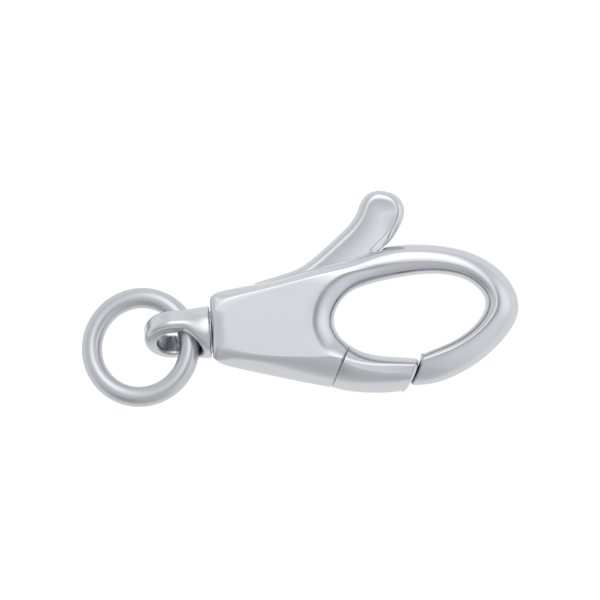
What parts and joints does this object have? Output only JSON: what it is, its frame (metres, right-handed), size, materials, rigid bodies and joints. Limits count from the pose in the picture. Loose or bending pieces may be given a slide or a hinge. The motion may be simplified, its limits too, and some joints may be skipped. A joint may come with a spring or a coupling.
{
  "type": "swivel lobster clasp",
  "caption": "Swivel lobster clasp with a sprung lever gate, a turning eye and a closed jump ring, for fastening a chain.",
  "frame": {"origin": "on the flat back cheek that the clasp lies on, under the swivel axis and halfway along the cheek", "axes": "+X along the clasp from the swivel to the nose of the hook, +Y across the clasp towards the thumb lever, +Z through the thickness, out of the front cheek"},
  "size_m": [0.022, 0.0101, 0.0029],
  "materials": {
    "polished_silver": "mirror-polished silver",
    "lever_silver": "mirror-polished silver",
    "pin_silver": "polished silver",
    "eye_silver": "polished silver",
    "ring_silver": "polished silver wire"
  },
  "bodies": {
    "housing": {"body_hook": "polished_silver", "pivot_pin": "pin_silver"},
    "trigger": {"trigger_gate": "lever_silver"},
    "swivel": {"swivel_eye": "eye_silver", "jump_ring": "ring_silver"}
  },
  "joints": [
    {"name": "gate_hinge", "type": "hinge", "parent": "housing", "child": "trigger", "pos_m": [0.00219, -0.00037, 0.00145], "axis": [0, 0, 1], "range_deg": [0, 20], "stiffness_Nm_per_rad": 0.012, "springref_deg": -0.11},
    {"name": "eye_swivel", "type": "hinge", "parent": "housing", "child": "swivel", "pos_m": [-0.00305, 0, 0.00145], "axis": [1, 0, 0], "continuous": true}
  ]
}
